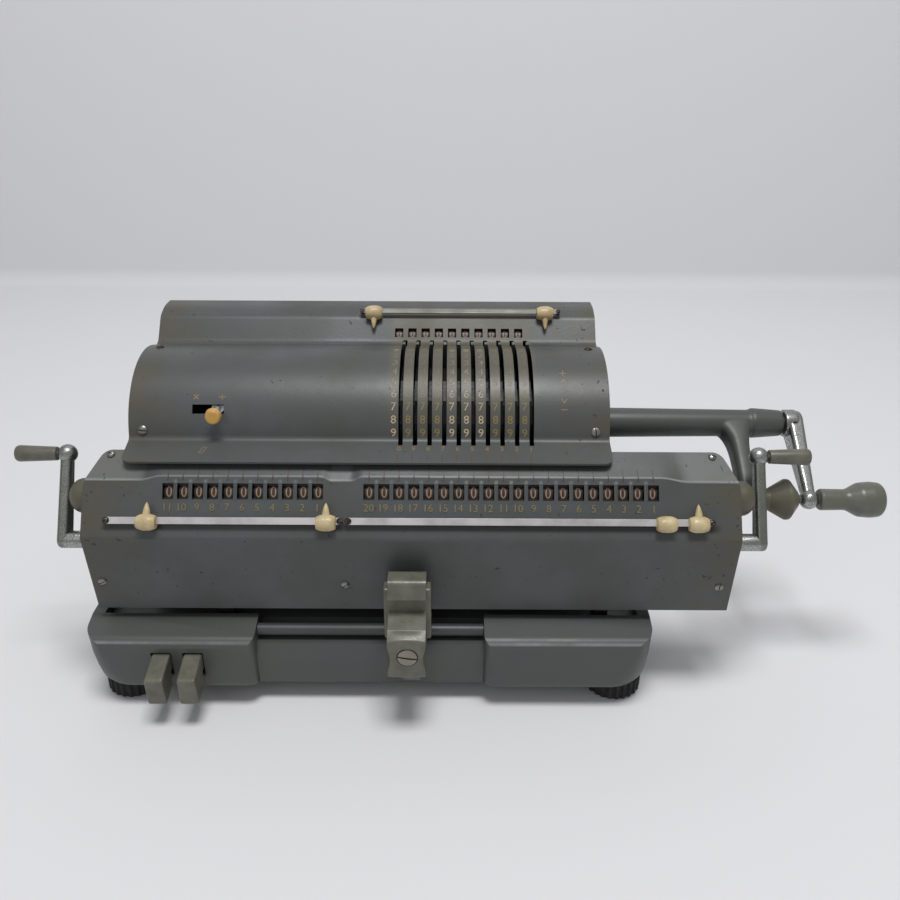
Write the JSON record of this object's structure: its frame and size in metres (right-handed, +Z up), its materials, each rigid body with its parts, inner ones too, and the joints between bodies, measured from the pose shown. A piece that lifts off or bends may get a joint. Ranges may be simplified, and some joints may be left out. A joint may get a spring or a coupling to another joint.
{
  "type": "pinwheel calculator",
  "caption": "Hand-cranked desk calculator with setting levers on a rotor, a sliding carriage of numeral wheels, clearing cranks and a side crank.",
  "frame": {"origin": "on the surface the machine stands on, under the middle of its whole box with the crank at rest", "axes": "+X to the operator's right along the machine, +Y away from the operator, +Z up"},
  "size_m": [0.4254, 0.173, 0.174],
  "materials": {
    "cover_enamel": "grey enamel, worn at the edges",
    "base_enamel": "grey enamel over a casting",
    "bracket_paint": "grey gloss paint",
    "olive_plastic": "olive-grey moulded plastic",
    "rubber": "black serrated rubber",
    "chrome": "worn, pitted plating",
    "bright_steel": "bright nickelled steel",
    "dark_steel": "dark oiled steel",
    "frame_steel": "plain steel plate",
    "gear_brass": "machined brass",
    "numeral_black": "black wheel with cream figures",
    "ivory_plastic": "yellowed ivory plastic",
    "amber_plastic": "cream to orange plastic"
  },
  "bodies": {
    "root": {"base_casting": "base_enamel", "foot_front_left": "rubber", "foot_front_right": "rubber", "foot_rear_left": "rubber", "foot_rear_right": "rubber", "left_side_frame": "frame_steel", "right_side_frame": "frame_steel", "top_cover": "cover_enamel", "crank_bracket": "bracket_paint", "front_rail": "dark_steel", "check_shaft": "dark_steel", "top_pointer_rail": "bright_steel"},
    "rotor": {"main_shaft": "dark_steel", "pinwheel_rotor": "gear_brass", "crank_arm": "chrome"},
    "grip": {"crank_grip": "olive_plastic"},
    "transfer": {"transfer_gears": "gear_brass"},
    "carriage": {"carriage_cover": "cover_enamel", "carriage_left_end": "cover_enamel", "carriage_right_end": "cover_enamel", "carriage_bed": "dark_steel", "counter_pointer_rail": "bright_steel", "result_pointer_rail": "bright_steel"},
    "counter_row": {"counter_wheels": "numeral_black"},
    "result_row": {"result_wheels": "numeral_black"},
    "counter_clear": {"counter_clear_crank": "chrome", "counter_clear_grip": "olive_plastic"},
    "result_clear": {"result_clear_crank": "chrome", "result_clear_grip": "olive_plastic"},
    "release": {"release_handle": "olive_plastic", "release_latch": "dark_steel"},
    "key_left": {"shift_key_left": "olive_plastic"},
    "key_right": {"shift_key_right": "olive_plastic"},
    "count_switch": {"count_switch_knob": "amber_plastic"},
    "lever_1": {"setting_lever_1": "bright_steel"},
    "lever_2": {"setting_lever_2": "bright_steel"},
    "lever_3": {"setting_lever_3": "bright_steel"},
    "lever_4": {"setting_lever_4": "bright_steel"},
    "lever_5": {"setting_lever_5": "bright_steel"},
    "lever_6": {"setting_lever_6": "bright_steel"},
    "lever_7": {"setting_lever_7": "bright_steel"},
    "lever_8": {"setting_lever_8": "bright_steel"},
    "lever_9": {"setting_lever_9": "bright_steel"},
    "lever_10": {"setting_lever_10": "bright_steel"},
    "check_1": {"check_wheel_1": "numeral_black"},
    "check_2": {"check_wheel_2": "numeral_black"},
    "check_3": {"check_wheel_3": "numeral_black"},
    "check_4": {"check_wheel_4": "numeral_black"},
    "check_5": {"check_wheel_5": "numeral_black"},
    "check_6": {"check_wheel_6": "numeral_black"},
    "check_7": {"check_wheel_7": "numeral_black"},
    "check_8": {"check_wheel_8": "numeral_black"},
    "check_9": {"check_wheel_9": "numeral_black"},
    "check_10": {"check_wheel_10": "numeral_black"},
    "pointer_1": {"decimal_pointer_1": "ivory_plastic"},
    "pointer_2": {"decimal_pointer_2": "ivory_plastic"},
    "pointer_3": {"decimal_pointer_3": "ivory_plastic"},
    "pointer_4": {"decimal_pointer_4": "ivory_plastic"},
    "top_pointer_1": {"top_pointer_1": "ivory_plastic"},
    "top_pointer_2": {"top_pointer_2": "ivory_plastic"}
  },
  "joints": [
    {"name": "crank_turn", "type": "hinge", "parent": "root", "child": "rotor", "pos_m": [0.10835, 0.0145, 0.1203], "axis": [1, 0, 0], "continuous": true},
    {"name": "grip_pull", "type": "slide", "parent": "rotor", "child": "grip", "axis": [1, 0, 0], "range_m": [0, 0.006], "stiffness_N_per_m": 400},
    {"name": "set_lever_1", "type": "hinge", "parent": "rotor", "child": "lever_1", "pos_m": [0.03635, 0.0145, 0.1203], "axis": [1, 0, 0], "range_deg": [0, 82.8]},
    {"name": "set_lever_2", "type": "hinge", "parent": "rotor", "child": "lever_2", "pos_m": [0.02935, 0.0145, 0.1203], "axis": [1, 0, 0], "range_deg": [0, 82.8]},
    {"name": "set_lever_3", "type": "hinge", "parent": "rotor", "child": "lever_3", "pos_m": [0.02235, 0.0145, 0.1203], "axis": [1, 0, 0], "range_deg": [0, 82.8]},
    {"name": "set_lever_4", "type": "hinge", "parent": "rotor", "child": "lever_4", "pos_m": [0.01535, 0.0145, 0.1203], "axis": [1, 0, 0], "range_deg": [0, 82.8]},
    {"name": "set_lever_5", "type": "hinge", "parent": "rotor", "child": "lever_5", "pos_m": [0.00835, 0.0145, 0.1203], "axis": [1, 0, 0], "range_deg": [0, 82.8]},
    {"name": "set_lever_6", "type": "hinge", "parent": "rotor", "child": "lever_6", "pos_m": [0.00135, 0.0145, 0.1203], "axis": [1, 0, 0], "range_deg": [0, 82.8]},
    {"name": "set_lever_7", "type": "hinge", "parent": "rotor", "child": "lever_7", "pos_m": [-0.00565, 0.0145, 0.1203], "axis": [1, 0, 0], "range_deg": [0, 82.8]},
    {"name": "set_lever_8", "type": "hinge", "parent": "rotor", "child": "lever_8", "pos_m": [-0.01265, 0.0145, 0.1203], "axis": [1, 0, 0], "range_deg": [0, 82.8]},
    {"name": "set_lever_9", "type": "hinge", "parent": "rotor", "child": "lever_9", "pos_m": [-0.01965, 0.0145, 0.1203], "axis": [1, 0, 0], "range_deg": [0, 82.8]},
    {"name": "set_lever_10", "type": "hinge", "parent": "rotor", "child": "lever_10", "pos_m": [-0.02665, 0.0145, 0.1203], "axis": [1, 0, 0], "range_deg": [0, 82.8]},
    {"name": "check_turn_1", "type": "hinge", "parent": "root", "child": "check_1", "pos_m": [0.03295, 0.04625, 0.15418], "axis": [1, 0, 0], "range_deg": [-324.1, 0]},
    {"name": "check_turn_2", "type": "hinge", "parent": "root", "child": "check_2", "pos_m": [0.02595, 0.04625, 0.15418], "axis": [1, 0, 0], "range_deg": [-324.1, 0]},
    {"name": "check_turn_3", "type": "hinge", "parent": "root", "child": "check_3", "pos_m": [0.01895, 0.04625, 0.15418], "axis": [1, 0, 0], "range_deg": [-324.1, 0]},
    {"name": "check_turn_4", "type": "hinge", "parent": "root", "child": "check_4", "pos_m": [0.01195, 0.04625, 0.15418], "axis": [1, 0, 0], "range_deg": [-324.1, 0]},
    {"name": "check_turn_5", "type": "hinge", "parent": "root", "child": "check_5", "pos_m": [0.00495, 0.04625, 0.15418], "axis": [1, 0, 0], "range_deg": [-324.1, 0]},
    {"name": "check_turn_6", "type": "hinge", "parent": "root", "child": "check_6", "pos_m": [-0.00205, 0.04625, 0.15418], "axis": [1, 0, 0], "range_deg": [-324.1, 0]},
    {"name": "check_turn_7", "type": "hinge", "parent": "root", "child": "check_7", "pos_m": [-0.00905, 0.04625, 0.15418], "axis": [1, 0, 0], "range_deg": [-324.1, 0]},
    {"name": "check_turn_8", "type": "hinge", "parent": "root", "child": "check_8", "pos_m": [-0.01605, 0.04625, 0.15418], "axis": [1, 0, 0], "range_deg": [-324.1, 0]},
    {"name": "check_turn_9", "type": "hinge", "parent": "root", "child": "check_9", "pos_m": [-0.02305, 0.04625, 0.15418], "axis": [1, 0, 0], "range_deg": [-324.1, 0]},
    {"name": "check_turn_10", "type": "hinge", "parent": "root", "child": "check_10", "pos_m": [-0.03005, 0.04625, 0.15418], "axis": [1, 0, 0], "range_deg": [-324.1, 0]},
    {"name": "carriage_slide", "type": "slide", "parent": "root", "child": "carriage", "axis": [1, 0, 0], "range_m": [-0.056, 0.014]},
    {"name": "counter_clear_turn", "type": "hinge", "parent": "carriage", "child": "counter_clear", "pos_m": [-0.18765, -0.0454, 0.0848], "axis": [1, 0, 0], "continuous": true},
    {"name": "counter_row_turn", "type": "hinge", "parent": "carriage", "child": "counter_row", "pos_m": [-0.11465, -0.03683, 0.10605], "axis": [1, 0, 0], "continuous": true},
    {"name": "result_clear_turn", "type": "hinge", "parent": "carriage", "child": "result_clear", "pos_m": [0.14635, -0.0454, 0.0848], "axis": [1, 0, 0], "range_deg": [0, 250]},
    {"name": "result_row_turn", "type": "hinge", "parent": "carriage", "child": "result_row", "pos_m": [0.03935, -0.03683, 0.10605], "axis": [1, 0, 0], "range_deg": [-250, 0]},
    {"name": "transfer_turn", "type": "hinge", "parent": "root", "child": "transfer", "pos_m": [-0.00165, -0.02321, 0.09309], "axis": [1, 0, 0], "range_deg": [0, 212.5]},
    {"name": "release_press", "type": "hinge", "parent": "carriage", "child": "release", "pos_m": [-0.02065, -0.0675, 0.0469], "axis": [1, 0, 0], "range_deg": [-5, 0], "stiffness_Nm_per_rad": 0.6},
    {"name": "left_key_press", "type": "hinge", "parent": "root", "child": "key_left", "pos_m": [-0.14285, -0.0455, 0.0283], "axis": [1, 0, 0], "range_deg": [0, 8], "stiffness_Nm_per_rad": 0.8},
    {"name": "right_key_press", "type": "hinge", "parent": "root", "child": "key_right", "pos_m": [-0.12745, -0.0455, 0.0283], "axis": [1, 0, 0], "range_deg": [0, 8], "stiffness_Nm_per_rad": 0.8},
    {"name": "count_switch_slide", "type": "slide", "parent": "root", "child": "count_switch", "axis": [1, 0, 0], "range_m": [-0.01, 0]},
    {"name": "pointer_slide_1", "type": "slide", "parent": "carriage", "child": "pointer_1", "axis": [1, 0, 0], "range_m": [-0.012, 0.035]},
    {"name": "pointer_slide_2", "type": "slide", "parent": "carriage", "child": "pointer_2", "axis": [1, 0, 0], "range_m": [-0.035, 0]},
    {"name": "pointer_slide_3", "type": "slide", "parent": "carriage", "child": "pointer_3", "axis": [1, 0, 0], "range_m": [-0.14, 0]},
    {"name": "pointer_slide_4", "type": "slide", "parent": "carriage", "child": "pointer_4", "axis": [1, 0, 0], "range_m": [-0.004, 0]},
    {"name": "top_pointer_slide_1", "type": "slide", "parent": "root", "child": "top_pointer_1", "axis": [1, 0, 0], "range_m": [0, 0.04]},
    {"name": "top_pointer_slide_2", "type": "slide", "parent": "root", "child": "top_pointer_2", "axis": [1, 0, 0], "range_m": [-0.04, 0]}
  ],
  "couplings": [
    {"joint": "check_turn_1", "follows": "set_lever_1", "ratio": -3.913},
    {"joint": "check_turn_2", "follows": "set_lever_2", "ratio": -3.913},
    {"joint": "check_turn_3", "follows": "set_lever_3", "ratio": -3.913},
    {"joint": "check_turn_4", "follows": "set_lever_4", "ratio": -3.913},
    {"joint": "check_turn_5", "follows": "set_lever_5", "ratio": -3.913},
    {"joint": "check_turn_6", "follows": "set_lever_6", "ratio": -3.913},
    {"joint": "check_turn_7", "follows": "set_lever_7", "ratio": -3.913},
    {"joint": "check_turn_8", "follows": "set_lever_8", "ratio": -3.913},
    {"joint": "check_turn_9", "follows": "set_lever_9", "ratio": -3.913},
    {"joint": "check_turn_10", "follows": "set_lever_10", "ratio": -3.913},
    {"joint": "counter_row_turn", "follows": "counter_clear_turn", "ratio": -1},
    {"joint": "result_row_turn", "follows": "result_clear_turn", "ratio": -1},
    {"joint": "transfer_turn", "follows": "result_clear_turn", "ratio": 0.85}
  ]
}
